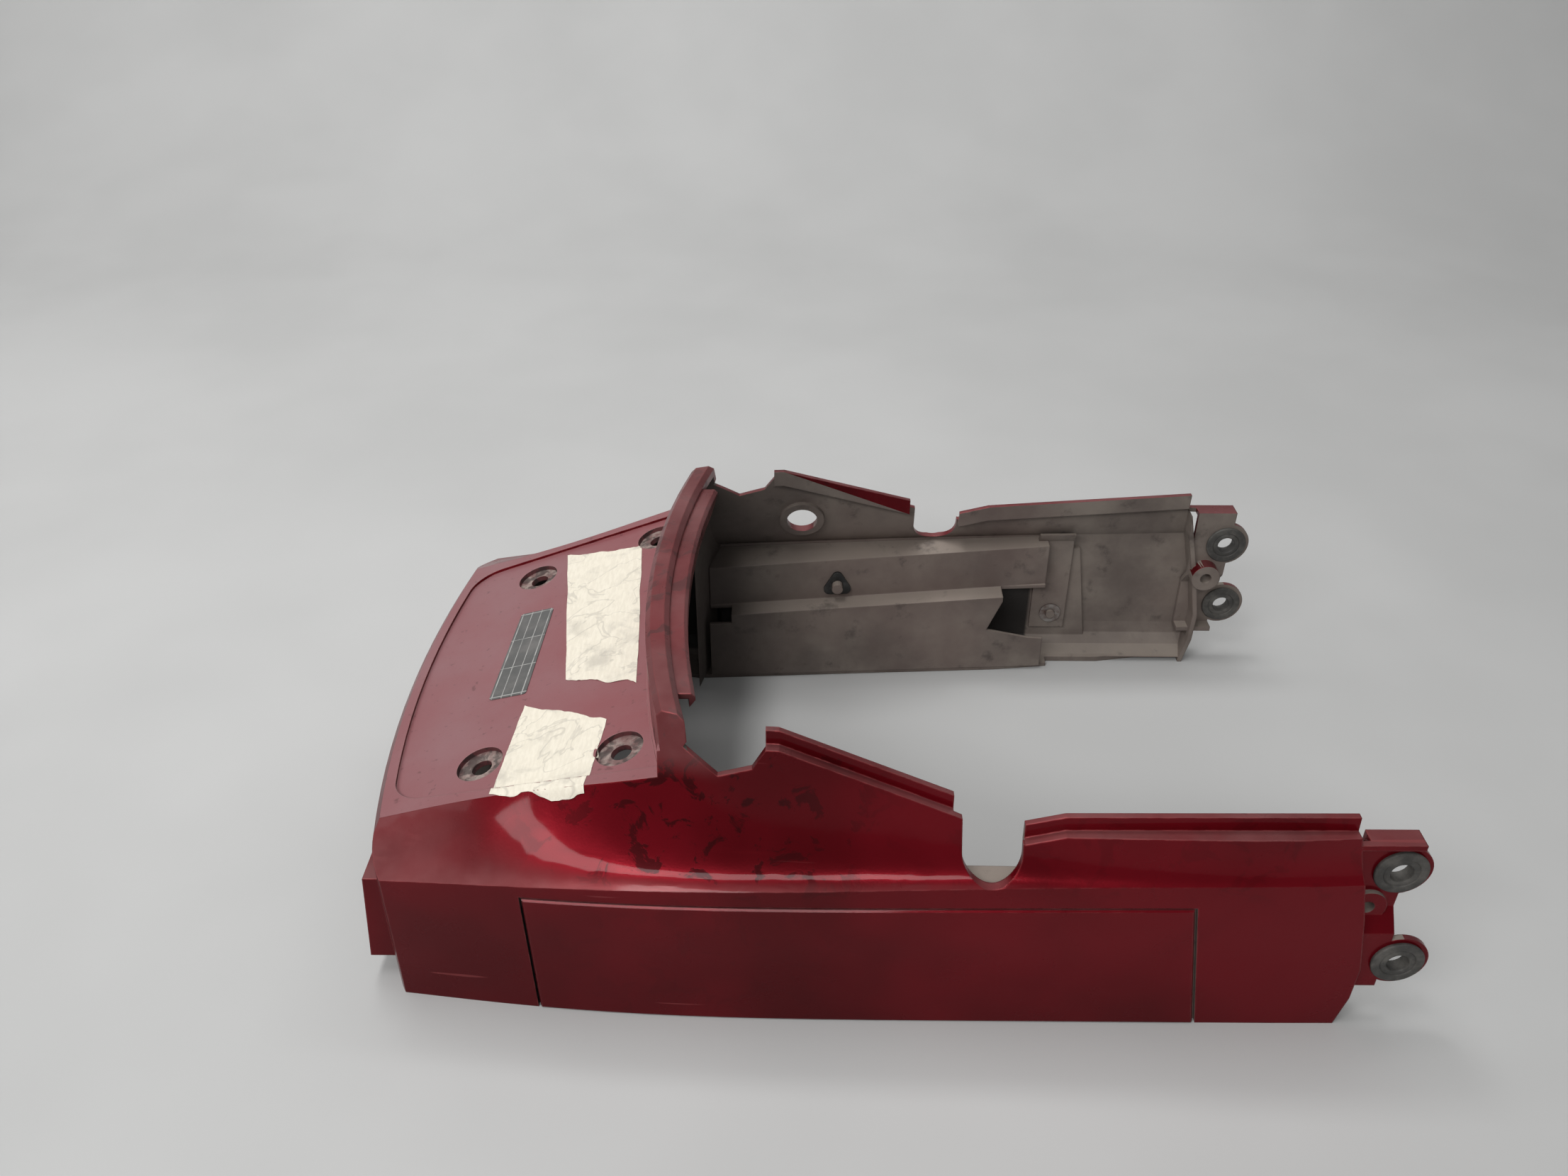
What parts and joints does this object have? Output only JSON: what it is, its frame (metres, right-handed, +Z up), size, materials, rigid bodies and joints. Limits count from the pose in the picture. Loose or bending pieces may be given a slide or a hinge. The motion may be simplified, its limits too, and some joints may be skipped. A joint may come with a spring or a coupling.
{
  "type": "motorcycle rear fairing",
  "caption": "Moulded motorcycle tail cowl with a holed flat deck, raised seat back, arms along both sides of the seat, inset side panels and rubber-lined mounting tabs.",
  "frame": {"origin": "middle of the box around the part, on the plane of its bottom edges", "axes": "+X to the front of the machine, along the arms; +Y to the machine's left; +Z up"},
  "size_m": [0.509, 0.3132, 0.158],
  "materials": {
    "paint": "glossy dark wine-red paint, stained and scuffed",
    "inner_plastic": "bare plastic dusted with brown-grey overspray",
    "grommet_rubber": "dull grey-black rubber",
    "clip_plastic": "black moulded plastic",
    "washer_steel": "dull steel with overspray",
    "tape": "cream crinkled paper tape with torn ends"
  },
  "bodies": {
    "root": {"tail_cowl": "paint", "side_panel_left": "paint", "side_panel_right": "paint", "inner_channel_left": "inner_plastic", "inner_channel_right": "inner_plastic", "retainer_clips": "clip_plastic", "stud_washers": "washer_steel", "tape_patch_centre": "tape", "tape_patch_side": "tape", "tab_grommets": "grommet_rubber"}
  },
  "joints": []
}
